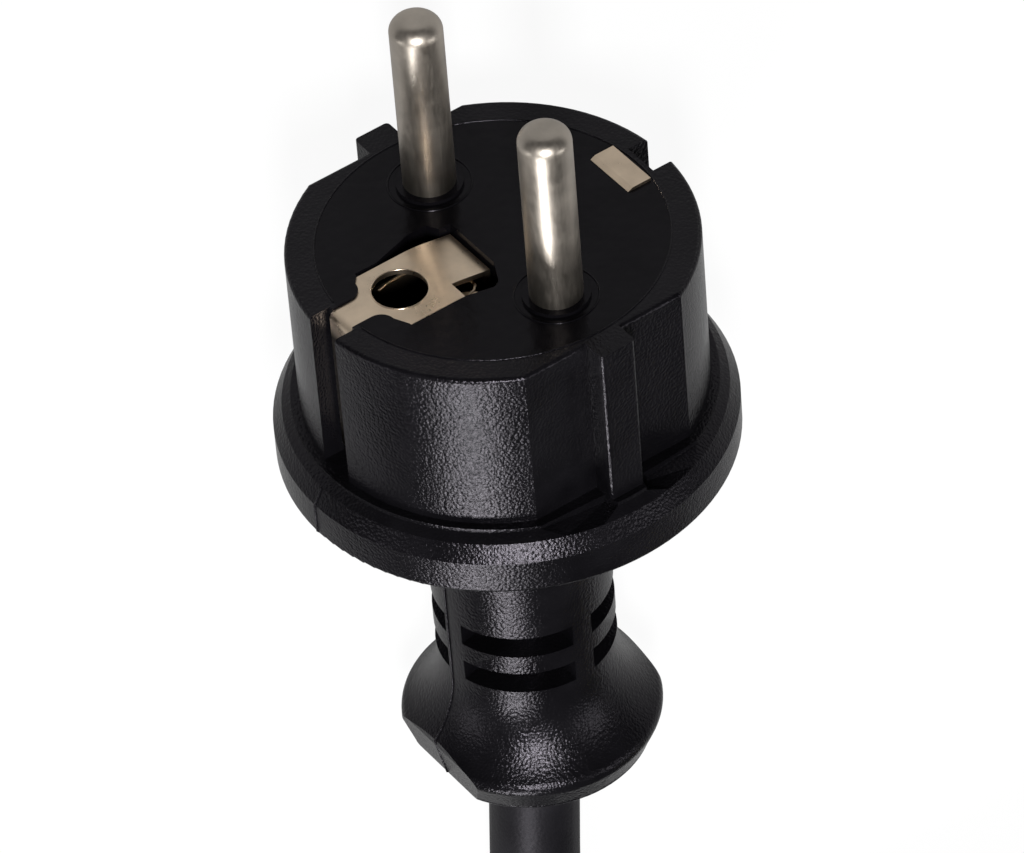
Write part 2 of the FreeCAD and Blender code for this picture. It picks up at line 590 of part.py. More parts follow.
def make_front_strip():
    """Earth plate with the socket's hole, its tongue over the edge and the strip in the groove."""
    body = new_body("earth_strip_front")
    thick = "sizes.strip_thickness"
    level = "(-sizes.plate_depth)"
    dipped = f"({level} - sizes.plate_slope_drop)"
    tab_foot = f"({dipped} - sizes.plate_tab_height)"
    ease = "sizes.fold_ease"
    slope = "(sizes.plate_slope_drop / sizes.plate_slope_length)"
    fold_radius = f"(2 * {ease} / {slope})"
    side_view = new_sketch(body, "plate_side_view", "YZ_Plane")
    add_outline(side_view, strip_section(-1, [
        ((PLATE_INNER, tab_foot), (f"{PLATE_INNER} - {thick}", tab_foot)),
        ((PLATE_INNER, dipped), (f"{PLATE_INNER} - {thick}", f"{dipped} - {thick}")),
        ((f"{PLATE_FOLD} + {ease}", f"{level} - {ease} * {slope}", fold_radius, 1),
         (f"{PLATE_FOLD} + {ease}", f"{level} - {ease} * {slope} - {thick}")),
        ((f"{PLATE_FOLD} - {ease}", level), (f"{PLATE_FOLD} - {ease}", f"{level} - {thick}", fold_radius, -1)),
        ((f"-{STRIP_REACH} + sizes.strip_bend", level), (f"-{STRIP_REACH} + sizes.strip_bend", f"{level} - {thick}")),
    ]))
    pad(body, "bent_sheet", side_view, f"2 * {PLATE_RIGHT}", both_ways=True)

    # the blank is cut from outside, so each sketch closes round the waste on one side
    for side, name in ((1, "right"), (-1, "left")):
        waste = new_sketch(body, f"waste_{name}", "XY_Plane", f"{STRIP_FOOT} - sizes.strip_bend")
        edge = PLATE_RIGHT if side > 0 else PLATE_LEFT
        neck = f"{side} * {NECK_HALF}"
        beyond = f"{side} * 2 * {PLATE_RIGHT}"
        shoulder = f"{side} * ({NECK_HALF} + sizes.lobe_radius)"
        outline = [
            (beyond, f"-{STRIP_REACH} - sizes.strip_bend"),
            (neck, f"-{STRIP_REACH} - sizes.strip_bend"),
            (neck, f"{PLATE_OUTER} - sizes.lobe_radius / 2", "sizes.lobe_radius", -side),
            (shoulder, f"{PLATE_OUTER} + sizes.lobe_radius / 2"),
            (edge, f"{PLATE_OUTER} + sizes.lobe_radius"),
        ]
        if side > 0:
            outline += [(edge, PLATE_FOLD), (NOTCH, PLATE_FOLD), (NOTCH, "sizes.lobe_radius"),
                        (beyond, "sizes.lobe_radius")]
        else:
            outline += [(edge, "sizes.lobe_radius"), (beyond, "sizes.lobe_radius")]
        add_outline(waste, outline)
        pocket(body, f"trim_{name}", waste, f"{INSERT_DEPTH} * 2", upward=True)

    tails = new_sketch(body, "tail_waste", "XY_Plane", f"{STRIP_FOOT} - sizes.strip_bend")
    for side in (1, -1):
        add_rectangle(tails, f"{side} * {NECK_HALF}", f"-{STRIP_REACH} - sizes.strip_bend",
                      f"{side} * 2 * {PLATE_RIGHT}", "sizes.lobe_radius")
    leg_length = f"{INSERT_DEPTH} - sizes.recess_depth + 2 * sizes.strip_bend"
    pocket(body, "narrow_leg", tails, leg_length, upward=True)
    hole = new_sketch(body, "plate_hole", "XY_Plane")
    add_circle(hole, "0", "-sizes.earth_offset", "sizes.earth_hole_radius")
    pocket(body, "socket_hole", hole, "sizes.recess_depth")
    return lay(body)


def make_rear_strip():
    """Rear earth strip: a turned-in clip on the face, a step under the rubber and the strip in the groove."""
    body = new_body("earth_strip_rear")
    thick = "sizes.strip_thickness"
    clip_outer = f"({INSERT_RADIUS} - sizes.strip_thickness)"
    clip_inner = f"({clip_outer} - sizes.clip_length)"
    step_level = f"(sizes.clip_rise - 3 * {thick})"
    side_view = new_sketch(body, "clip_side_view", "YZ_Plane")
    add_outline(side_view, strip_section(1, [
        ((clip_inner, f"sizes.clip_rise - {thick} / 2"), (clip_inner, f"sizes.clip_rise - {thick} * 1.5")),
        ((f"{clip_inner} + {thick}", "sizes.clip_rise"), (f"{clip_inner} + {thick}", f"sizes.clip_rise - {thick}")),
        ((clip_outer, "sizes.clip_rise"), (f"{clip_outer} - {thick}", f"sizes.clip_rise - {thick}")),
        ((clip_outer, step_level), (f"{clip_outer} - {thick}", f"{step_level} - {thick}")),
        ((f"{STRIP_REACH} - sizes.strip_bend", step_level),
         (f"{STRIP_REACH} - sizes.strip_bend", f"{step_level} - {thick}")),
    ]))
    pad(body, "bent_clip", side_view, "sizes.clip_width", both_ways=True)
    narrow = new_sketch(body, "clip_waste", "XY_Plane", f"{STRIP_FOOT} - sizes.strip_bend")
    for side in (1, -1):
        add_rectangle(narrow, f"{side} * {NECK_HALF}", "0", f"{side} * sizes.clip_width",
                      f"{STRIP_REACH} + sizes.strip_bend")
    pocket(body, "narrow_strip", narrow, f"-({STRIP_FOOT} - sizes.strip_bend) + {step_level} - {thick} / 2",
           upward=True)
    return lay(body)


def make_earth_spring():
    """A leaf bent round the earth socket, whose two arms grip the earth pin and curl at their ends."""
    body = new_body("earth_spring")
    leaf = "sizes.spring_thickness"
    inner = "(sizes.earth_hole_radius + sizes.spring_clearance)"
    outer = SPRING_OUTER
    back = f"({SPRING_BACK} + {leaf})"
    curl = "sizes.spring_curl_radius"
    arm_end = "(-sizes.spring_arm_end)"
    top = "(-(sizes.plate_depth + sizes.strip_thickness))"
    plan = new_sketch(body, "spring_plan", "XY_Plane", "-sizes.recess_depth")
    add_outline(plan, [
        (f"-{outer} - {curl}", f"{arm_end} + {curl}"),
        (f"-{outer}", arm_end),
        (f"-{outer}", SPRING_BACK),
        (outer, SPRING_BACK),
        (outer, arm_end),
        (f"{outer} + {curl}", f"{arm_end} + {curl}"),
        (f"{outer} + {curl} - {leaf}", f"{arm_end} + {curl} + {leaf}"),
        (inner, f"{arm_end} + {leaf} / 2"),
        (inner, back),
        (f"-{inner}", back),
        (f"-{inner}", f"{arm_end} + {leaf} / 2"),
        (f"-{outer} - {curl} + {leaf}", f"{arm_end} + {curl} + {leaf}"),
    ])
    pad(body, "spring_leaf", plan, f"sizes.recess_depth + {top}")
    low = new_sketch(body, "arms_outline", "XY_Plane", top)
    add_rectangle(low, f"-2 * {outer}", f"{back} + {leaf}", f"2 * {outer}", "0")
    pocket(body, "lower_arms", low, "sizes.spring_step")
    return lay(body)


def make_bridge():
    """Strap across the insert's back that joins both earth strips, with the earth crimp."""
    body = new_body("earth_bridge")
    level = STRIP_FOOT
    strap = new_sketch(body, "strap_outline", "XY_Plane", level)
    reach_out = f"({INSERT_RADIUS} - sizes.bridge_width)"
    add_rectangle(strap, f"-{NECK_HALF}", f"-{reach_out}", NECK_HALF, reach_out)
    pad(body, "strap", strap, "sizes.strip_thickness", downward=True)
    barrel = new_sketch(body, "barrel_outline", "XY_Plane", f"{level} - sizes.strip_thickness")
    add_circle(barrel, "0", "0", "sizes.crimp_radius")
    pad(body, "barrel", barrel, "sizes.crimp_length", downward=True)
    bore = new_sketch(body, "barrel_bore", "XY_Plane", f"{level} - sizes.strip_thickness - sizes.crimp_length")
    add_circle(bore, "0", "0", "sizes.wire_radius")
    pocket(body, "barrel_hollow", bore, "sizes.crimp_length - sizes.wire_radius", upward=True)
    return lay(body)


# the three cores: where each is crimped, and where it leaves the sheath
CORES = ["live", "neutral", "earth"]


def core_places(name):
    """Where a core's crimp starts, its elbow above the neck, and where it leaves the sheath."""
    side = {"live": 1, "neutral": -1, "earth": 0}[name]
    depth = INSERT_DEPTH if side else f"-({STRIP_FOOT} - sizes.strip_thickness)"
    crimp = Vector(side * size("sizes.pin_offset"), 0, -size(depth))
    angle = math.radians({"live": -30, "neutral": 210, "earth": 90}[name])
    lay_radius = size("sizes.core_radius") * 2 / math.sqrt(3) * 1.02
    leave = Vector(lay_radius * math.cos(angle), lay_radius * math.sin(angle), -size("sizes.sheath_end"))
    elbow = Vector(side * size("sizes.elbow_offset"), leave.y, -size(f"{COLLAR_FOOT} + sizes.elbow_depth"))
    return crimp, elbow, leave


def make_wire(name):
    """Bare strands of a core, from inside its crimp to where its insulation starts."""
    crimp, _, _ = core_places(name)
    length = size("sizes.crimp_length - sizes.wire_radius")
    foot = crimp - Vector(0, 0, size("sizes.crimp_length"))
    return add_shape("wire_" + name, Part.makeCylinder(size("sizes.wire_radius"), length, foot))


def make_core(name):
    """Insulated core from its crimp to the end of the sheath."""
    crimp, elbow, leave = core_places(name)
    start = crimp - Vector(0, 0, size("sizes.crimp_length"))
    radius = size("sizes.core_bend_radius")
    points = [start, start - Vector(0, 0, 0.6 * radius), elbow]
    if name != "earth":
        points.append(leave + Vector(0, 0, radius))
    points.append(leave)
    return add_shape("core_" + name, tube_shape(points, 2 * size("sizes.core_radius"), radius))


def make_sheath_end():
    """The lead's sheath where the rubber is moulded round it, with its three cores."""
    length = size(f"{PLUG_FOOT} - sizes.sheath_end")
    foot = Vector(0, 0, -size(PLUG_FOOT))
    return add_shape("lead_in_plug", Part.makeCylinder(size("sizes.cord_diameter") / 2, length, foot))


pins = [make_pin("pin_live", 1), make_pin("pin_neutral", -1)]
front_strip = make_front_strip()
rear_strip = make_rear_strip()
earth_spring = make_earth_spring()
bridge = make_bridge()
insert_form = make_insert_form()
outer_form = make_outer_form()
doc.recompute()
wires = [make_wire(name) for name in CORES]
cores = [make_core(name) for name in CORES]
sheath_end = make_sheath_end()

face_insert = take_away("face_insert", insert_form, pins + [front_strip, rear_strip])
outer_moulding = take_away(
    "outer_moulding", outer_form,
    pins + [front_strip, rear_strip, bridge] + wires + cores + [sheath_end],
)
plug_pieces = (
    [outer_moulding, face_insert] + pins + [front_strip, rear_strip, earth_spring, bridge]
    + wires + cores + [sheath_end]
)

# the middle of the plug's outline on the floor is the origin, and its lowest point is on the floor
boxes = [piece.Shape.optimalBoundingBox() for piece in plug_pieces]
middle_y = (min(box.YMin for box in boxes) + max(box.YMax for box in boxes)) / 2
lowest = min(box.ZMin for box in boxes)
sheet.set(cells["rest_shift"], f"{-middle_y:.5f}")
sheet.set(cells["rest_lift"], f"{-lowest:.5f}")
doc.recompute()

# the lead's route: out of the bell, down to the floor and round to the coil
exit_point = lay_down.Placement.multVec(Vector(0, 0, -size(PLUG_FOOT)))
exit_direction = lay_down.Placement.Rotation.multVec(Vector(0, 0, -1))
floor_level = size("sizes.tie_thickness + sizes.cord_diameter / 2")
landing = exit_point + exit_direction * ((exit_point.z - floor_level) / -exit_direction.z)
cord_yaw = math.radians(size("sizes.cord_yaw"))
coil_yaw = math.radians(size("sizes.coil_yaw"))
bend = landing + Vector(math.sin(cord_yaw), math.cos(cord_yaw), 0) * size("sizes.floor_run")
coil_start = bend + Vector(-math.sin(coil_yaw), math.cos(coil_yaw), 0) * size("sizes.floor_run")
route = [exit_point, landing, bend, coil_start]
print("route", [tuple(round(value, 3) for value in point) for point in route])
cord = doc.addObject("Part::Feature", "cord")
cord.Label = "cord"
cord.Shape = tube_shape(route, size("sizes.cord_diameter"))

# the coil's own frame: its axis is upright and +X points to where the lead joins it
outer_turn = size("sizes.coil_radius + sizes.cord_diameter")
coil_centre = coil_start - Vector(math.cos(coil_yaw), math.sin(coil_yaw), 0) * outer_turn
coil_centre.z = size("sizes.tie_thickness")
coil_place = Placement(coil_centre, Rotation(Vector(0, 0, 1), size("sizes.coil_yaw")))
print("coil", tuple(round(value, 3) for value in coil_centre))
CORD = "sizes.cord_diameter"
HALF = "(sizes.cord_diameter / 2)"
TURN_1 = "(sizes.coil_radius + sizes.cord_diameter)"
TURN_3 = "(sizes.coil_radius - sizes.cord_diameter)"
TURN_4 = "(sizes.coil_radius - sizes.cord_diameter / 2)"
TURN_5 = "(sizes.coil_radius + sizes.cord_diameter / 2)"


def turned_part(body, name, sketch, angle):
    """A part turn of the sketch about the coil's axis."""
    feature = body.newObject("PartDesign::Revolution", name)
    feature.Profile = sketch
    feature.ReferenceAxis = (sketch, ["V_Axis"])
    feature.setExpression("Angle", angle)
    doc.recompute()
    return feature


def radial_sketch(body, name, angle):
    """A sketch that stands on the coil's axis at an angle round the coil; it is the side view of a turn."""
    sketch = new_sketch(body, name, "XZ_Plane")
    sketch.setExpression(
        "AttachmentOffset", f"placement(vector(0; 0; 0); rotation(vector(0; 1; 0); {angle} * 1 deg))"
    )
    doc.recompute()
    return sketch


def make_coil():
    """Outer shape of the coiled lead: three turns on the floor and two on top of them."""
    body = new_body("cord_coil")
    section = new_sketch(body, "coil_section", "XZ_Plane")
    side_run = f"({HALF} * cos(30 deg))"
    side_level = f"(1.5 * {CORD} - {HALF} / 2)"
    add_outline(section, [
        (TURN_3, "0"),
        (TURN_1, "0", HALF, 1),
        (f"{TURN_1} + {HALF}", HALF, HALF, 1),
        (TURN_1, CORD),
        (f"{TURN_5} + {side_run}", side_level, HALF, 1),
        (TURN_5, f"2 * {CORD}"),
        (TURN_4, f"2 * {CORD}", HALF, 1),
        (f"{TURN_4} - {side_run}", side_level),
        (TURN_3, CORD, HALF, 1),
        (f"{TURN_3} - {HALF}", HALF, HALF, 1),
    ])
    turn(body, "coil_turned", section)
    way_in = new_sketch(body, "way_in_outline", "XY_Plane")
    add_rectangle(way_in, f"{TURN_1} - {HALF} - sizes.way_in_gap", "-sizes.coil_radius",
                  f"{TURN_1} + {CORD}", "0")
    pocket(body, "way_in", way_in, CORD, upward=True)
    gap = radial_sketch(body, "tail_gap_section", "sizes.tail_start_angle")
    add_rectangle(gap, "sizes.coil_radius", CORD, f"{TURN_1} + {CORD}", f"3 * {CORD}")
    groove = body.newObject("PartDesign::Groove", "gap_for_tail")
    groove.Profile = gap
    groove.ReferenceAxis = (gap, ["V_Axis"])
    groove.setExpression("Angle", f"{TAIL_TURN} + 15 deg")
    doc.recompute()
    body.Placement = coil_place
    return body


TAIL_TURN = f"((sizes.tail_length + sizes.ferrule_length) / {TURN_5} * 180 / pi * 1 deg)"
CORE_TURN = f"(sizes.tail_length / {TURN_5} * 180 / pi * 1 deg)"
LAY_RADIUS = "(sizes.core_radius * 2 / sqrt(3) * 1.02)"
TAIL_PLACES = {
    "live": (f"({TURN_5} + {LAY_RADIUS} * cos(30 deg))", f"(1.5 * {CORD} - {LAY_RADIUS} / 2)"),
    "neutral": (f"({TURN_5} - {LAY_RADIUS} * cos(30 deg))", f"(1.5 * {CORD} - {LAY_RADIUS} / 2)"),
    "earth": (TURN_5, f"(1.5 * {CORD} + {LAY_RADIUS})"),
}


def make_tail(name):
    """Stripped core at the lead's free end, which keeps the bend of its turn."""
    body = new_body("tail_" + name)
    across, level = TAIL_PLACES[name]
    section = radial_sketch(body, "tail_section", "sizes.tail_start_angle")
    add_circle(section, across, level, "sizes.core_radius")
    turned_part(body, "tail_turned", section, CORE_TURN)
    body.Placement = coil_place
    return body


def make_ferrule(name):
    """Wire end sleeve, crimped on the strands, with a wide mouth against the insulation."""
    body = new_body("ferrule_" + name)
    outline = new_sketch(body, "ferrule_outline", "XZ_Plane")
    mouth = "2 * (sizes.ferrule_mouth_radius - sizes.ferrule_radius)"
    add_outline(outline, [
        ("0", "0"),
        ("sizes.ferrule_mouth_radius", "0"),
        ("sizes.ferrule_radius", mouth),
        ("sizes.ferrule_radius", "sizes.ferrule_length"),
        ("0", "sizes.ferrule_length"),
    ])
    turn(body, "ferrule_turned", outline)
    across, level = TAIL_PLACES[name]
    angle = math.radians(size("sizes.tail_start_angle") + size(CORE_TURN))
    foot = Vector(size(across) * math.cos(angle), size(across) * math.sin(angle), size(level))
    ahead = Vector(-math.sin(angle), math.cos(angle), 0)
    body.Placement = coil_place * Placement(foot, Rotation(Vector(0, 0, 1), ahead))
    return body


def tie_outline(spare):
    """Outline that a band takes round the five turns, the given distance outside them."""
    radius = f"({HALF} + {spare})"
    across = f"({radius} * 2 / sqrt(5))"
    along = f"({radius} / sqrt(5))"
    return [
        (TURN_3, f"-{spare}"),
        (TURN_1, f"-{spare}", radius, 1),
        (f"{TURN_1} + {across}", f"{HALF} + {along}"),
        (f"{TURN_5} + {across}", f"1.5 * {CORD} + {along}", radius, 1),
        (TURN_5, f"2 * {CORD} + {spare}"),
        (TURN_4, f"2 * {CORD} + {spare}", radius, 1),
        (f"{TURN_4} - {across}", f"1.5 * {CORD} + {along}"),
        (f"{TURN_3} - {across}", f"{HALF} + {along}", radius, 1),
    ]


def make_tie():
    """Flat band that holds the coil's turns together."""
    body = new_body("coil_tie")
    section = radial_sketch(body, "tie_section", "sizes.tie_angle")
    add_outline(section, tie_outline("sizes.tie_thickness"))
    add_outline(section, tie_outline("0 * sizes.tie_thickness"))
    turned_part(body, "tie_band", section, "sizes.tie_width / sizes.coil_radius * 180 / pi * 1 deg")
    body.Placement = coil_place
    return body


lead_pieces = [cord, make_coil(), make_tie()]
lead_pieces += [make_tail(name) for name in TAIL_PLACES]
lead_pieces += [make_ferrule(name) for name in TAIL_PLACES]
doc.recompute()

for item in doc.Objects:
    if "Invalid" in item.State or "Error" in item.State:
        raise RuntimeError(f"{item.Label} doesn't build: {item.State}")

os.makedirs("parts", exist_ok=True)
for piece in plug_pieces + lead_pieces:
    shape = piece.Shape
    if shape.isNull() or not shape.isValid() or len(shape.Solids) != 1:
        raise RuntimeError(f"{piece.Label} isn't one valid solid")
    shape.exportStep(f"parts/{piece.Label}.step")
    box = shape.optimalBoundingBox()
    print(piece.Label, round(shape.Volume), "mm3, from",
          [round(value, 2) for value in (box.XMin, box.YMin, box.ZMin)], "to",
          [round(value, 2) for value in (box.XMax, box.YMax, box.ZMax)])
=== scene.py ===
"""Looks of a moulded-on mains plug with round pins, earth strips and its coiled lead."""
import math

import bmesh
import bpy
from mathutils import Matrix, Vector


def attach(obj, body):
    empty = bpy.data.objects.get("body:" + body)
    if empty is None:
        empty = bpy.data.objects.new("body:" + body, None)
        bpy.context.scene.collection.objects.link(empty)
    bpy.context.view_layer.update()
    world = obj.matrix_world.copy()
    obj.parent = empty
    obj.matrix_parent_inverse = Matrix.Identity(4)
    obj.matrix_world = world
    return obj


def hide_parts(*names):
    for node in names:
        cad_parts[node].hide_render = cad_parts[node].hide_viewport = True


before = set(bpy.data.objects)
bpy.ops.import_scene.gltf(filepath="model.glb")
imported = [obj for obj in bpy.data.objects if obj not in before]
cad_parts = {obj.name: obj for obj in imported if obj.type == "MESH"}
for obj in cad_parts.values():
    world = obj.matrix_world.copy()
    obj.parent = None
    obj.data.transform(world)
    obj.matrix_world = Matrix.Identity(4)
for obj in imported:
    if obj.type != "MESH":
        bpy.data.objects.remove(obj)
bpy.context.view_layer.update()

bl_info = {
    "name": "Mains plug with round pins",
    "version": (1, 0, 0),
    "blender": (4, 5, 0),
    "location": "View3D > Sidebar > Plug",
    "description": "Dresses a moulded mains plug and its lead",
    "category": "Object",
}

MM = 0.001

# the plug's own frame: +Z along the pins from the middle of the face, +X to the live pin
FACE_MIDDLE = (0.0, -0.020297, 0.025839)
LEAN = math.radians(14.191)
ROLL = math.radians(122.5)
PLUG = (
    Matrix.Translation(FACE_MIDDLE)
    @ Matrix.Rotation(math.pi / 2 - LEAN, 4, "X")
    @ Matrix.Rotation(ROLL, 4, "Z")
)

# the pins' direction in the world, and how far along it the face lies
PIN_AXIS = PLUG.to_3x3() @ Vector((0, 0, 1))
FACE_LEVEL = PIN_AXIS.dot(PLUG.translation)

# the coil's own frame: upright axis, +X to where the lead joins the outer turn
COIL_MIDDLE = (-0.052296, 0.119473, 0.0005)
COIL_YAW = math.radians(6)
COIL = Matrix.Translation(COIL_MIDDLE) @ Matrix.Rotation(COIL_YAW, 4, "Z")

# the lead's route from the bell to the coil
ROUTE = [
    (0.0, 0.038357, 0.011007),
    (0.0016, 0.063102, 0.00475),
    (0.002162, 0.094026, 0.00475),
    (-0.001078, 0.124856, 0.00475),
]


class PlugSizes(bpy.types.PropertyGroup):
    """Sizes that a user may change."""

    cord_diameter: bpy.props.FloatProperty(
        name="Lead diameter", description="Outside diameter of the rubber lead",
        default=0.0085, min=0.005, max=0.012, unit="LENGTH",
    )
    coil_radius: bpy.props.FloatProperty(
        name="Coil radius", description="Radius of the middle turn of the coil",
        default=0.043, min=0.03, max=0.08, unit="LENGTH",
    )
    grain: bpy.props.FloatProperty(
        name="Grain size", description="Size of the cells in the moulded rubber's grain",
        default=0.00028, min=0.0001, max=0.002, unit="LENGTH",
    )
    tail_angle: bpy.props.FloatProperty(
        name="Sheath's end", description="Where the sheath ends, round the coil",
        default=math.radians(240), subtype="ANGLE",
    )


def colour_property(name, description, default):
    """A colour that a user may change."""
    return bpy.props.FloatVectorProperty(
        name=name, description=description, default=default, size=3, min=0, max=1, subtype="COLOR"
    )


class PlugColours(bpy.types.PropertyGroup):
    """Colours that a user may change."""

    rubber: colour_property("Rubber", "Moulded rubber body", (0.0028, 0.0026, 0.0033))
    insert: colour_property("Insert", "Hard face insert", (0.0022, 0.002, 0.0026))
    sheath: colour_property("Sheath", "Sheath of the lead", (0.0045, 0.0043, 0.0053))
    nickel: colour_property("Nickel", "Plated pins", (0.6, 0.54, 0.47))
    strip: colour_property("Earth sheet", "Plated earth strips", (0.9, 0.73, 0.55))
    brown: colour_property("Brown core", "Insulation of the live core", (0.16, 0.062, 0.03))
    blue: colour_property("Blue core", "Insulation of the neutral core", (0.03, 0.14, 0.44))
    green: colour_property("Green core", "Insulation of the earth core", (0.09, 0.34, 0.06))
    yellow: colour_property("Yellow stripe", "Stripe of the earth core", (0.8, 0.62, 0.04))
    copper: colour_property("Copper", "Bare strands", (0.72, 0.36, 0.2))
    tin: colour_property("Tin", "Wire end sleeves", (0.66, 0.66, 0.65))
    band: colour_property("Band", "Tie round the coil", (0.05, 0.05, 0.055))


class Socket:
    """A node's output; an expression on one that carries a number adds Math nodes."""

    def __init__(self, nodes, socket):
        self.nodes = nodes
        self.socket = socket

    def math(self, operation, *values):
        return self.nodes.node("ShaderNodeMath", {"operation": operation}, dict(enumerate(values)))

    def __add__(self, other):
        return self.math("ADD", self, other)

    def __radd__(self, other):
        return self.math("ADD", other, self)

    def __sub__(self, other):
        return self.math("SUBTRACT", self, other)

    def __rsub__(self, other):
        return self.math("SUBTRACT", other, self)

    def __mul__(self, other):
        return self.math("MULTIPLY", self, other)

    def __rmul__(self, other):
        return self.math("MULTIPLY", other, self)

    def __truediv__(self, other):
        return self.math("DIVIDE", self, other)

    def __rtruediv__(self, other):
        return self.math("DIVIDE", other, self)


class Nodes:
    """The nodes of a material or of the world."""

    def __init__(self, tree):
        self.tree = tree

    def node(self, kind, settings=None, inputs=None, output=0):
        """Adds a node: its settings first, then the values or links of its sockets."""
        node = self.tree.nodes.new(kind)
        for name, value in (settings or {}).items():
            if name == "stops":
                elements = node.color_ramp.elements
                while len(elements) < len(value):
                    elements.new(1)
                for element, (position, level) in zip(elements, value):
                    element.position = position
                    element.color = (level, level, level, 1)
            else:
                setattr(node, name, value)
        for name, value in (inputs or {}).items():
            self.feed(node.inputs[name], value)
        return Socket(self, node.outputs[output])

    def feed(self, socket, value):
        """Links a socket to another one, or sets its value."""
        if isinstance(value, Socket):
            self.tree.links.new(value.socket, socket)
        elif socket.type == "RGBA" and len(value) == 3:
            socket.default_value = (*value, 1)
        else:
            socket.default_value = value

    def ray(self, kind):
        """1 for rays of this kind and 0 for others."""
        return self.node("ShaderNodeLightPath", output=f"Is {kind} Ray")

    def blend(self, factor, first, second):
        """The first shader where the factor is 0, the second where it is 1."""
        return self.node("ShaderNodeMixShader", None, {0: factor, 1: first, 2: second})


class Finish(Nodes):
    """A material's nodes round its Principled BSDF, in its object's own coordinates."""

    def __init__(self, name):
        self.material = bpy.data.materials.new(name)
        self.material.use_nodes = True
        super().__init__(self.material.node_tree)
        self.surface = self.tree.nodes["Principled BSDF"]
        self.place = self.node("ShaderNodeTexCoord", output="Object")

    def noise(self, size, detail=2.0, rough=0.5, place=None):
        """Soft noise whose spots are about this size, in metres."""
        inputs = {"Vector": place or self.place, "Scale": 1 / size, "Detail": detail, "Roughness": rough}
        return self.node("ShaderNodeTexNoise", None, inputs)

    def ramp(self, value, *stops):
        """A number led through stops, each with a position and a level."""
        return self.node("ShaderNodeValToRGB", {"stops": stops}, {"Fac": value})

    def mix(self, factor, first, second):
        """The first colour where the factor is 0, the second where it is 1."""
        return self.node(
            "ShaderNodeMix", {"data_type": "RGBA"}, {0: factor, 6: first, 7: second}, output=2
        )

    def bump(self, height, distance, strength=1.0):
        inputs = {"Height": height, "Distance": distance, "Strength": strength}
        return self.node("ShaderNodeBump", None, inputs)

    def set(self, **values):
        """Feeds the Principled BSDF's sockets, named with _ for a blank."""
        for name, value in values.items():
            self.feed(self.surface.inputs[name.replace("_", " ")], value)

    def paint(self, *nodes):
        """Gives this finish to CAD nodes."""
        for name in nodes:
            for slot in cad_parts[name].material_slots:
                slot.link = "OBJECT"
                slot.material = self.material


def swing(noise, span):
    """A noise's departure from its middle, scaled to this span."""
    return (noise - 0.5) * span


# rubber's relief: size of the grit and the swell beside the cells, and the height that each adds
GRIT_SIZE, SWELL_SIZE = 0.5, 2.6
CELL_HEIGHT, GRIT_HEIGHT, SWELL_HEIGHT = 0.9, 0.6, 0.3
CELL_SMOOTHNESS = 0.35

# rubber's dusty patches: size in metres, stops of the noise and how much paler they are
PATCH_SIZE = 0.006
PATCH_STOPS = (0.35, 0), (0.75, 1)
PATCH_GAIN, PATCH_LIFT = 1.7, 0.001
PATCH_ROUGHNESS, GRIT_ROUGHNESS = 0.1, 0.12
RUBBER_TINT = (0.94, 0.88, 1.0)


def rubber_finish(name, colour, grain, depth, rough, shine=0.3):
    """Moulded rubber: leathery cells, finer grit on them and slight dusty patches."""
    finish = Finish(name)
    cells = finish.node(
        "ShaderNodeTexVoronoi", {"feature": "SMOOTH_F1"},
        {"Vector": finish.place, "Scale": 1 / grain, "Smoothness": CELL_SMOOTHNESS},
    )
    grit = finish.noise(grain * GRIT_SIZE, detail=3, rough=0.6)
    swell = finish.noise(grain * SWELL_SIZE)
    height = (1 - cells) * CELL_HEIGHT + grit * GRIT_HEIGHT + swell * SWELL_HEIGHT
    patches = finish.noise(PATCH_SIZE, detail=3, rough=0.6)
    dusty = [share * PATCH_GAIN + PATCH_LIFT for share in colour]
    finish.set(
        Base_Color=finish.mix(finish.ramp(patches, *PATCH_STOPS), colour, dusty),
        Roughness=rough + swing(patches, PATCH_ROUGHNESS) + swing(grit, GRIT_ROUGHNESS),
        Normal=finish.bump(height, depth),
        IOR=1.5,
        Specular_IOR_Level=shine,
        Specular_Tint=RUBBER_TINT,
    )
    return finish


# metal's streaks and cloudy marks: sizes in metres, how much darker the marks are, and how dark the painted
# shade near the face gets
STREAK_SIZE = 0.00028
STREAK_SQUEEZE = 0.06
STREAK_DEPTH = 0.00001
CLOUD_SIZE = 0.0035
CLOUD_STOPS = (0.35, 0), (0.7, 1)
CLOUD_SHADE, PAINTED_SHADE_TONE = 0.76, 0.06
CLOUD_ROUGHNESS = 0.12


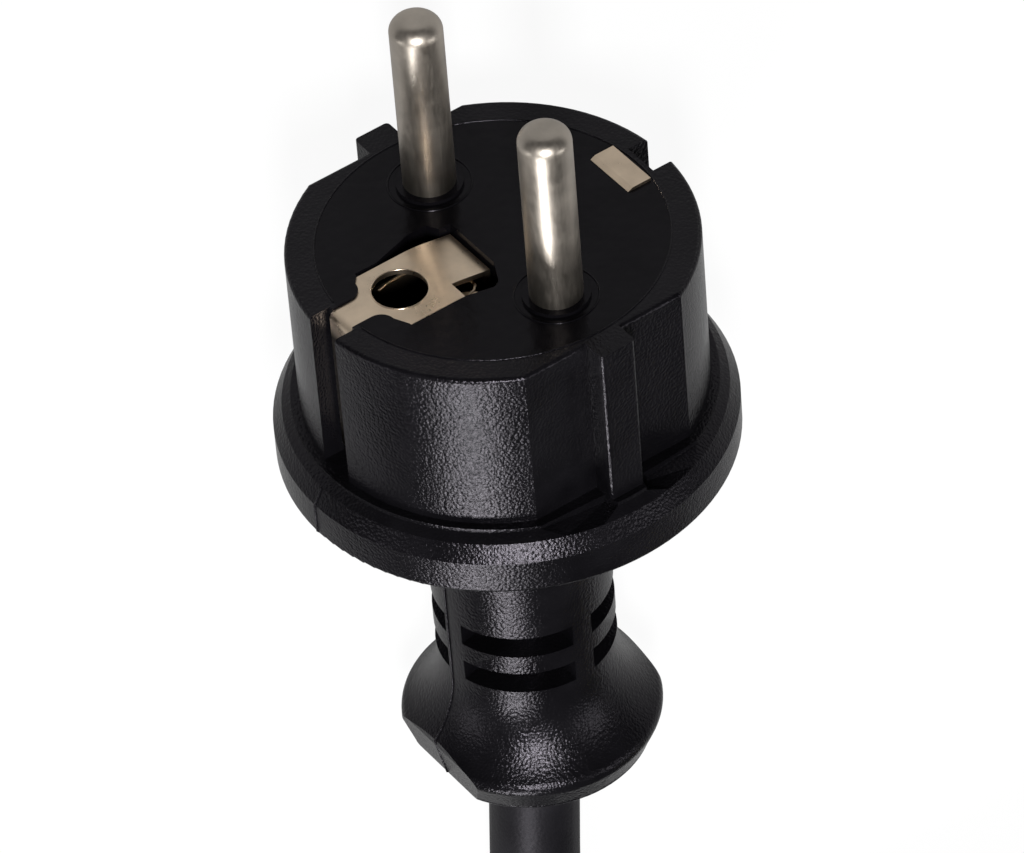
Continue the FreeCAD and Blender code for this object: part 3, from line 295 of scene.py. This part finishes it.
def metal_finish(name, colour, rough, streak, painted_shade=None):
    """Plated metal with fine streaks along Y, which is near the pins' axis, and faint cloudy marks.

    The painted shade, a darkening that stands in for shade near the face, is given by two heights
    above the face, where the metal is unshaded and where it is fully shaded, and by how dark it gets.
    """
    finish = Finish(name)
    along = finish.node(
        "ShaderNodeMapping", None,
        {"Vector": finish.place, "Rotation": (-LEAN, 0, 0), "Scale": (1, STREAK_SQUEEZE, 1)},
    )
    lines = finish.noise(STREAK_SIZE, detail=3, rough=0.6, place=along)
    clouds = finish.noise(CLOUD_SIZE, detail=3, rough=0.55)
    cloudy = [share * CLOUD_SHADE for share in colour]
    tone = finish.mix(finish.ramp(clouds, *CLOUD_STOPS), cloudy, colour)
    # painted shade: the colour darkens towards the face, where shade falls
    if painted_shade:
        unshaded_height, dark, share = painted_shade
        level = finish.node(
            "ShaderNodeVectorMath", {"operation": "DOT_PRODUCT"}, {0: finish.place, 1: PIN_AXIS}, output=1
        )
        depth = (level - (FACE_LEVEL + unshaded_height)) / (dark - unshaded_height)
        tone = finish.mix(finish.ramp(depth, (0, 0), (1, share)), tone, [c * PAINTED_SHADE_TONE for c in colour])
    finish.set(
        Base_Color=tone,
        Metallic=1.0,
        Roughness=rough + swing(lines, streak) + swing(clouds, CLOUD_ROUGHNESS),
        Normal=finish.bump(lines, STREAK_DEPTH, strength=0.5),
    )
    return finish


def add_object(name, data):
    """A new object in the scene."""
    added = bpy.data.objects.new(name, data)
    bpy.context.scene.collection.objects.link(added)
    return added


def add_tube(name, kind, places, radius, rounding, closed=False):
    """A round tube along places: straight between them for POLY, smooth for NURBS."""
    curve = bpy.data.curves.new(name, "CURVE")
    curve.dimensions = "3D"
    spline = curve.splines.new(kind)
    spline.points.add(len(places) - 1)
    for point, place in zip(spline.points, places):
        point.co = (*place, 1)
    spline.use_cyclic_u = closed
    curve.bevel_depth = radius
    curve.bevel_resolution = rounding
    curve.use_fill_caps = not closed
    return add_object(name, curve)


def add_line(name, places, radius, material, closed=False):
    """A thin raised line through places in the plug's own frame, in millimetres."""
    places = [Vector(place) * MM for place in places]
    line = add_tube(name, "POLY", places, radius * MM, rounding=2, closed=closed)
    line.data.materials.append(material)
    line.matrix_world = PLUG
    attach(line, "root")


RING_STEPS = 96


def ring_places(radius, level, middle=(0, 0), first=0.0, last=360.0):
    """Places on an arc between two angles in degrees, or on a whole ring."""
    count = RING_STEPS if last - first >= 360 else RING_STEPS + 1
    places = []
    for step in range(count):
        angle = math.radians(first + (last - first) * step / RING_STEPS)
        places.append((middle[0] + radius * math.cos(angle), middle[1] + radius * math.sin(angle), level))
    return places


# levels of the solid's moulding, in millimetres in the plug's own frame, like all sizes below
BODY_FOOT = -16.3
COLLAR_TOP = -18.0
FLARE_TOP = -49.0
RIM = -57.4
PLUG_FOOT = -60.5

# a point this near a level counts as on it
NEAR = 0.1

# the body and its step lie inside this radius, the collar's bevel outside it
BEVEL_RADIUS = 19.95

# the step between body and collar lies outside this radius, or beside the ribs outside this distance
STEP_RADIUS = 18.8
STEP_SIDE = 16.8
RIB_HALF_WIDTH = 2.2

# the corners of that step round a rib lie outside this distance and inside this half width
RIB_STEP_SIDE = 17.0
RIB_STEP_HALF_WIDTH = 3.1

# the finished body is larger and ends lower, and its step is smaller; the growth sets in just
# outside the insert's seat, over a margin
LOW_BODY_FOOT = -17.0
LOW_STEP_FOOT = -17.4
BODY_GROWTH = 1.0085
GROWTH_RADIUS = 15.75
GROWTH_MARGIN = 0.3
STEP_SHRINK = 0.987
RIB_STEP_SHRINK = 0.883

# the neck with its slots turns, between these levels and radii
SLOT_TURN = math.radians(5)
NECK_LEVELS = (-49.05, -23.05)
NECK_RADII = (6.0, 9.9)

# the bell's cut sides, from the axis; corners of a cut this near each other are one
BELL_FLAT_FOOT = 9.85
BELL_FLAT_RIM = 10.6
SAME_CORNER = 0.002
ON_CUT = 0.00001


def on_step(x, y, z):
    """True on the outline of the step between body and collar, not on the body itself."""
    beside_rib = abs(x) > STEP_SIDE and abs(y) > RIB_HALF_WIDTH
    return z < BODY_FOOT + NEAR and (math.hypot(x, y) > STEP_RADIUS or beside_rib)


def shaped(place):
    """Where a point of the plain moulding lies on the finished one, both in millimetres."""
    x, y, z = place
    radius = math.hypot(x, y)
    if z > COLLAR_TOP - NEAR and radius < BEVEL_RADIUS:
        if on_step(x, y, z):
            if abs(x) > RIB_STEP_SIDE and abs(y) < RIB_STEP_HALF_WIDTH:
                y *= RIB_STEP_SHRINK
            level = LOW_STEP_FOOT if z < COLLAR_TOP + NEAR else LOW_BODY_FOOT
            return x * STEP_SHRINK, y * STEP_SHRINK, level
        if radius > GROWTH_RADIUS and z > BODY_FOOT - NEAR:
            growth = 1 + (BODY_GROWTH - 1) * min((radius - GROWTH_RADIUS) / GROWTH_MARGIN, 1)
            return x * growth, y * growth, z * LOW_BODY_FOOT / BODY_FOOT
    if NECK_LEVELS[0] < z < NECK_LEVELS[1] and NECK_RADII[0] < radius < NECK_RADII[1]:
        angle = math.atan2(y, x) + SLOT_TURN
        return radius * math.cos(angle), radius * math.sin(angle), z
    return x, y, z


def cut_bell(work):
    """Cuts the bell's two sides so that they slant in towards its foot."""
    slant = (BELL_FLAT_RIM - BELL_FLAT_FOOT) / (RIM - PLUG_FOOT)
    for side in (1, -1):
        faces = [face for face in work.faces if all(vert.co.z < FLARE_TOP * MM for vert in face.verts)]
        edges = {edge for face in faces for edge in face.edges}
        verts = {vert for face in faces for vert in face.verts}
        result = bmesh.ops.bisect_plane(
            work, geom=list(verts) + list(edges) + faces, dist=ON_CUT * MM,
            plane_co=(0, side * BELL_FLAT_FOOT * MM, PLUG_FOOT * MM),
            plane_no=Vector((0, side, -slant)), clear_outer=True,
        )
        cut = [item.co.copy() for item in result["geom_cut"] if isinstance(item, bmesh.types.BMVert)]
        outline = []
        for place in cut:
            if all((place - other).length > SAME_CORNER * MM for other in outline):
                outline.append(place)
        middle = sum(outline, Vector()) / len(outline)
        outline.sort(key=lambda place: math.atan2(place.z - middle.z, place.x - middle.x))
        flat = work.faces.new([work.verts.new(place) for place in outline])
        flat.normal_update()
        if flat.normal.y * side < 0:
            flat.normal_flip()


class PLUG_OT_moulding(bpy.types.Operator):
    """Grained black rubber of the body, collar, neck and bell."""

    bl_idname = "plug.moulding"
    bl_label = "Moulding"

    def execute(self, context):
        scene = context.scene
        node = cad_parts["outer_moulding"]
        work = bmesh.new()
        work.from_mesh(node.data)
        work.transform(PLUG.inverted() @ node.matrix_world)
        for vert in work.verts:
            vert.co = Vector(shaped(vert.co / MM)) * MM
        cut_bell(work)
        mesh = bpy.data.meshes.new("moulding")
        work.to_mesh(mesh)
        work.free()
        finish = rubber_finish(
            "moulded_rubber", scene.plug_colours.rubber, scene.plug_sizes.grain,
            depth=0.00004, rough=0.2, shine=0.2,
        )
        mesh.materials.append(finish.material)
        moulding = add_object("moulding", mesh)
        moulding.matrix_world = PLUG
        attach(moulding, "root")
        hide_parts("outer_moulding")
        return {"FINISHED"}


class PLUG_OT_insert(bpy.types.Operator):
    """Smooth hard insert of the face."""

    bl_idname = "plug.insert"
    bl_label = "Face insert"

    def execute(self, context):
        colour = context.scene.plug_colours.insert
        finish = rubber_finish("face_plastic", colour, grain=0.0012, depth=0.00003, rough=0.2, shine=0.14)
        finish.paint("face_insert")
        return {"FINISHED"}


# the mould's parting line, from the collar's top to the bell's foot: distance from the axis and level
FLASH_RADIUS = 8.38
FLARE_RADIUS = 10.087
FLASH_ON_COLLAR = [(20.05, COLLAR_TOP), (20.92, -19.6), (20.92, -22.7), (20.6, -23.1)]
FLASH_ON_NECK = [(9.4, -23.35), (8.7, -23.9), (FLASH_RADIUS, -24.7), (FLASH_RADIUS, FLARE_TOP)]
FLASH_ON_FLARE = [
    (FLASH_RADIUS + FLARE_RADIUS - math.sqrt(FLARE_RADIUS ** 2 - drop ** 2), FLARE_TOP - drop)
    for drop in (1.5, 3, 4, 5, 6, 6.7)
]
FLASH_AT_FOOT = [(9.9, -60.4)]
FLASH_SIZE = 0.12

# the line round the insert, open where the earth plate's tongue crosses it, and the pins' rings
INSERT_RADIUS = 15.7
INSERT_LINE_ENDS = (-82, 262)
PIN_OFFSET = 9.5
PIN_RING_RADIUS = 3.75
LINE_SIZE = 0.1


class PLUG_OT_seams(bpy.types.Operator):
    """The mould's parting line, the line round the insert and the rings round the pins."""

    bl_idname = "plug.seams"
    bl_label = "Seams"

    def execute(self, context):
        rubber = bpy.data.materials["moulded_rubber"]
        face = bpy.data.materials["face_plastic"]
        below_collar = FLASH_ON_NECK + FLASH_ON_FLARE + FLASH_AT_FOOT
        for name, line in (("flash_on_collar", FLASH_ON_COLLAR), ("flash_on_neck", below_collar)):
            places = [(0, -radius, level) for radius, level in line]
            add_line(name, places, FLASH_SIZE, rubber)
        around = ring_places(INSERT_RADIUS, 0.0, (0, 0), *INSERT_LINE_ENDS)
        add_line("insert_line", around, LINE_SIZE, rubber)
        for side in (1, -1):
            ring = ring_places(PIN_RING_RADIUS, 0.0, (side * PIN_OFFSET, 0))
            add_line("pin_ring", ring, LINE_SIZE, face, closed=True)
        return {"FINISHED"}


# painted shade at the pins' foot and on the strips deep in their grooves: heights above the face
# in metres where it starts and where it is full, and how dark
PIN_PAINTED_SHADE = (0.008, 0.0005, 0.7)
STRIP_PAINTED_SHADE = (-0.0015, -0.003, 1.0)


class PLUG_OT_pins(bpy.types.Operator):
    """Nickel-plated pins."""

    bl_idname = "plug.pins"
    bl_label = "Pins"

    def execute(self, context):
        colour = context.scene.plug_colours.nickel
        # the pins darken towards the face: painted shade
        finish = metal_finish("pin_nickel", colour, rough=0.4, streak=0.2, painted_shade=PIN_PAINTED_SHADE)
        finish.paint("pin_live", "pin_neutral")
        return {"FINISHED"}


# the lip of the earth plate's hole, in millimetres in the plug's own frame
HOLE_MIDDLE = (0, -10)
HOLE_LIP_RADIUS = 2.56
HOLE_LIP_LEVEL = -0.21
HOLE_LIP_SIZE = 0.07

# the spring's edge that shows in the hole, and its curled end in the notch
LEAF_EDGE = [
    (-2.35, -10.8, -1.6), (-2.6, -9.9, -1.6), (-2.75, -8.9, -1.6), (-2.8, -8.0, -1.6), (-2.56, -7.0, -1.6),
]
LEAF_CURL = [
    (1.2, -4.3, -1.7), (1.77, -3.75, -1.6), (2.5, -3.8, -1.6), (3.0, -4.3, -1.6), (3.1, -5.0, -1.7),
]
LEAF_EDGE_SIZE = 0.13
LEAF_CURL_SIZE = 0.16


class PLUG_OT_earth(bpy.types.Operator):
    """Plated sheet of the earth strips, their spring and their bridge."""

    bl_idname = "plug.earth"
    bl_label = "Earth contacts"

    def execute(self, context):
        colour = context.scene.plug_colours.strip
        # the strips, spring and bridge darken deep in their grooves: painted shade
        finish = metal_finish("earth_sheet", colour, rough=0.3, streak=0.12, painted_shade=STRIP_PAINTED_SHADE)
        finish.paint("earth_strip_front", "earth_strip_rear", "earth_spring", "earth_bridge")
        sheet = metal_finish("leaf_sheet", colour, rough=0.3, streak=0.1).material
        lip = ring_places(HOLE_LIP_RADIUS, HOLE_LIP_LEVEL, HOLE_MIDDLE)
        add_line("hole_lip", lip, HOLE_LIP_SIZE, sheet, closed=True)
        add_line("leaf_edge", LEAF_EDGE, LEAF_EDGE_SIZE, sheet)
        add_line("leaf_curl", LEAF_CURL, LEAF_CURL_SIZE, sheet)
        return {"FINISHED"}


# the earth core's yellow stripe runs along its crest: depth below it and width of the edge
STRIPE_DEPTH = 0.0006
STRIPE_EDGE = 0.0001


class PLUG_OT_cores(bpy.types.Operator):
    """Copper strands and coloured cores, inside the plug and at the lead's free end."""

    bl_idname = "plug.cores"
    bl_label = "Cores"

    def execute(self, context):
        colours = context.scene.plug_colours
        strands = metal_finish("copper_strands", colours.copper, rough=0.3, streak=0.2)
        strands.paint("wire_live", "wire_neutral", "wire_earth")
        brown, blue, green = [
            rubber_finish(name, colour, grain=0.0006, depth=0.00002, rough=0.45)
            for name, colour in (
                ("core_brown", colours.brown), ("core_blue", colours.blue), ("core_green", colours.green),
            )
        ]
        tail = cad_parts["tail_earth"]
        crest = max((tail.matrix_world @ vert.co).z for vert in tail.data.vertices)
        height = green.node("ShaderNodeSeparateXYZ", None, {"Vector": green.place}, output=2)
        stripe = green.ramp((height - (crest - STRIPE_DEPTH)) / STRIPE_EDGE, (0, 0), (1, 1))
        green.set(Base_Color=green.mix(stripe, colours.green, colours.yellow))
        brown.paint("core_live", "tail_live")
        blue.paint("core_neutral", "tail_neutral")
        green.paint("core_earth", "tail_earth")
        sleeves = metal_finish("tinned_sleeve", colours.tin, rough=0.25, streak=0.1)
        sleeves.paint("ferrule_live", "ferrule_neutral", "ferrule_earth")
        return {"FINISHED"}


# the coil's turns, with the start and width in degrees round it of each shift in, up and out
COIL_STEPS = 24
WHOLE_TURNS = 4
SHIFTS_IN = (285, 90), (645, 90)
SHIFT_UP = (1010, 80)
HALF_SHIFT_OUT = (1040, 80)
SHIFT_OUT = (1365, 90)


def eased(angle, shift):
    """How much of a shift is done at an angle, eased from 0 to 1."""
    start, width = shift
    done = min(max((angle - start) / width, 0), 1)
    return done * done * (3 - 2 * done)


def coil_points(sizes):
    """Points of the coil's turns: on the floor and inwards, then on top and outwards."""
    pitch = sizes.cord_diameter
    spread = 1 / math.cos(math.pi / COIL_STEPS)
    end = math.degrees(sizes.tail_angle) + WHOLE_TURNS * 360
    count = int(end / (360 / COIL_STEPS))
    points = []
    for step in range(1, count + 1):
        angle = end if step == count else step * 360 / COIL_STEPS
        radius = sizes.coil_radius + pitch - pitch * sum(eased(angle, shift) for shift in SHIFTS_IN)
        radius += pitch / 2 * eased(angle, HALF_SHIFT_OUT) + pitch * eased(angle, SHIFT_OUT)
        level = pitch / 2 + pitch * eased(angle, SHIFT_UP)
        along, across = math.cos(math.radians(angle)), math.sin(math.radians(angle))
        points.append(COIL @ Vector((radius * spread * along, radius * spread * across, level)))
    return points


class PLUG_OT_lead(bpy.types.Operator):
    """The rubber lead: out of the bell, along the floor and round the coil."""

    bl_idname = "plug.lead"
    bl_label = "Lead"

    def execute(self, context):
        sizes = context.scene.plug_sizes
        places = [Vector(place) for place in ROUTE] + coil_points(sizes)
        lead = add_tube("lead", "NURBS", places, sizes.cord_diameter / 2, rounding=8)
        spline = lead.data.splines[0]
        spline.order_u = 3
        spline.use_endpoint_u = True
        spline.resolution_u = 6
        colour = context.scene.plug_colours.sheath
        finish = rubber_finish("lead_sheath", colour, grain=0.0004, depth=0.00002, rough=0.5, shine=0.2)
        lead.data.materials.append(finish.material)
        finish.paint("lead_in_plug")
        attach(lead, "root")
        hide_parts("cord", "cord_coil")
        return {"FINISHED"}


class PLUG_OT_tie(bpy.types.Operator):
    """Band that holds the coil."""

    bl_idname = "plug.tie"
    bl_label = "Coil tie"

    def execute(self, context):
        colour = context.scene.plug_colours.band
        finish = rubber_finish("tie_band", colour, grain=0.0004, depth=0.00005, rough=0.6)
        finish.paint("coil_tie")
        return {"FINISHED"}


# the camera in the plug's own frame, with its right and up directions
CAMERA_PLACE = Vector((0.451842, -0.288164, 0.479965))
CAMERA_RIGHT = Vector((0.5852609, 0.8084677, -0.0620455))
CAMERA_UP = Vector((-0.5287476, 0.4385388, 0.7267116))
FOCAL_LENGTH = 288.96
SENSOR_WIDTH = 36
NEAREST_SEEN = 0.01


def add_camera(scene):
    """The camera, placed from the plug's own frame."""
    camera = bpy.data.cameras.new("camera")
    camera.lens = FOCAL_LENGTH
    camera.sensor_width = SENSOR_WIDTH
    camera.clip_start = NEAREST_SEEN
    turned = Matrix((CAMERA_RIGHT, CAMERA_UP, CAMERA_RIGHT.cross(CAMERA_UP))).transposed().to_4x4()
    scene.camera = add_object("camera", camera)
    scene.camera.matrix_world = PLUG @ Matrix.Translation(CAMERA_PLACE) @ turned


WHITE = (1, 1, 1)

# the floor's half width, its colour, and its glow with the shares that the camera and mirrors see
FLOOR_HALF = 3.0
FLOOR_COLOUR = (0.2, 0.2, 0.2)
FLOOR_GLOW = 1.2
GLOW_SEEN = 0.78
GLOW_MIRRORED = 0.17


def add_floor():
    """Pale floor that keeps the plug's shadow and throws little light on the plug."""
    corners = [(x * FLOOR_HALF, y * FLOOR_HALF, 0) for x, y in ((-1, -1), (1, -1), (1, 1), (-1, 1))]
    mesh = bpy.data.meshes.new("floor")
    mesh.from_pydata(corners, [], [(0, 1, 2, 3)])
    floor = add_object("floor", mesh)
    finish = Finish("floor_paper")
    finish.set(Base_Color=FLOOR_COLOUR, Roughness=0.9)
    paper = Socket(finish, finish.surface.outputs["BSDF"])
    glow = finish.node("ShaderNodeEmission", None, {"Color": WHITE, "Strength": FLOOR_GLOW})
    share = finish.ray("Camera") * GLOW_SEEN + finish.ray("Glossy") * GLOW_MIRRORED
    finish.feed(finish.tree.nodes["Material Output"].inputs["Surface"], finish.blend(share, paper, glow))
    mesh.materials.append(finish.material)


# strength of the world's light on the plug, and as the camera sees it
WORLD_LIGHT = 0.06
WORLD_SEEN = 1.0


def add_world(scene):
    """Faint light from all round, where the camera itself sees white."""
    world = bpy.data.worlds.new("studio")
    world.use_nodes = True
    world.node_tree.nodes.remove(world.node_tree.nodes["Background"])
    sky = Nodes(world.node_tree)
    dim, pale = [
        sky.node("ShaderNodeBackground", None, {"Color": WHITE, "Strength": strength})
        for strength in (WORLD_LIGHT, WORLD_SEEN)
    ]
    sky.feed(world.node_tree.nodes["World Output"].inputs["Surface"], sky.blend(sky.ray("Camera"), dim, pale))
    scene.world = world


# each lamp's name, place, width and height, and power
LAMPS = [
    ("overhead", (0.0, -0.04, 0.75), (0.1, 0.3), 7.0),
    ("behind", (0.2, 0.6, 0.42), (0.2, 0.18), 3.0),
    ("right_side", (-0.6, 0.15, 0.35), (0.2, 0.3), 0.6),
    ("left_side", (0.6, 0.2, 0.25), (0.2, 0.3), 0.4),
]
LAMP_AIM = Vector((0, 0, 0.02))


def add_lamp(name, place, size, power):
    """A soft lamp that points at the plug."""
    lamp = bpy.data.lights.new(name, "AREA")
    lamp.shape = "RECTANGLE"
    lamp.size, lamp.size_y = size
    lamp.energy = power
    holder = add_object(name, lamp)
    holder.location = place
    holder.rotation_euler = (LAMP_AIM - Vector(place)).to_track_quat("-Z", "Y").to_euler()


class PLUG_OT_stage(bpy.types.Operator):
    """Pale floor, soft lamps and the camera."""

    bl_idname = "plug.stage"
    bl_label = "Stage"

    def execute(self, context):
        add_camera(context.scene)
        add_floor()
        add_world(context.scene)
        for name, place, size, power in LAMPS:
            add_lamp(name, place, size, power)
        context.scene.view_settings.view_transform = "Standard"
        return {"FINISHED"}


class PLUG_PT_panel(bpy.types.Panel):
    """Lists the plug's pieces, sizes and colours."""

    bl_idname = "PLUG_PT_panel"
    bl_label = "Plug"
    bl_space_type = "VIEW_3D"
    bl_region_type = "UI"
    bl_category = "Plug"

    def draw(self, context):
        for group in (context.scene.plug_sizes, context.scene.plug_colours):
            for name in group.__annotations__:
                self.layout.prop(group, name)
        for operator in OPERATORS:
            self.layout.operator(operator.bl_idname)


OPERATORS = [
    PLUG_OT_moulding, PLUG_OT_insert, PLUG_OT_seams, PLUG_OT_pins, PLUG_OT_earth, PLUG_OT_cores,
    PLUG_OT_lead, PLUG_OT_tie, PLUG_OT_stage,
]
CLASSES = [PlugSizes, PlugColours, PLUG_PT_panel] + OPERATORS


def register():
    for kind in CLASSES:
        bpy.utils.register_class(kind)
    bpy.types.Scene.plug_sizes = bpy.props.PointerProperty(type=PlugSizes)
    bpy.types.Scene.plug_colours = bpy.props.PointerProperty(type=PlugColours)


def unregister():
    del bpy.types.Scene.plug_sizes
    del bpy.types.Scene.plug_colours
    for kind in reversed(CLASSES):
        bpy.utils.unregister_class(kind)


def main():
    register()
    bpy.ops.plug.moulding()
    bpy.ops.plug.insert()
    bpy.ops.plug.seams()
    bpy.ops.plug.pins()
    bpy.ops.plug.earth()
    bpy.ops.plug.cores()
    bpy.ops.plug.lead()
    bpy.ops.plug.tie()
    bpy.ops.plug.stage()
    bpy.context.view_layer.update()


if __name__ == "__main__":
    main()
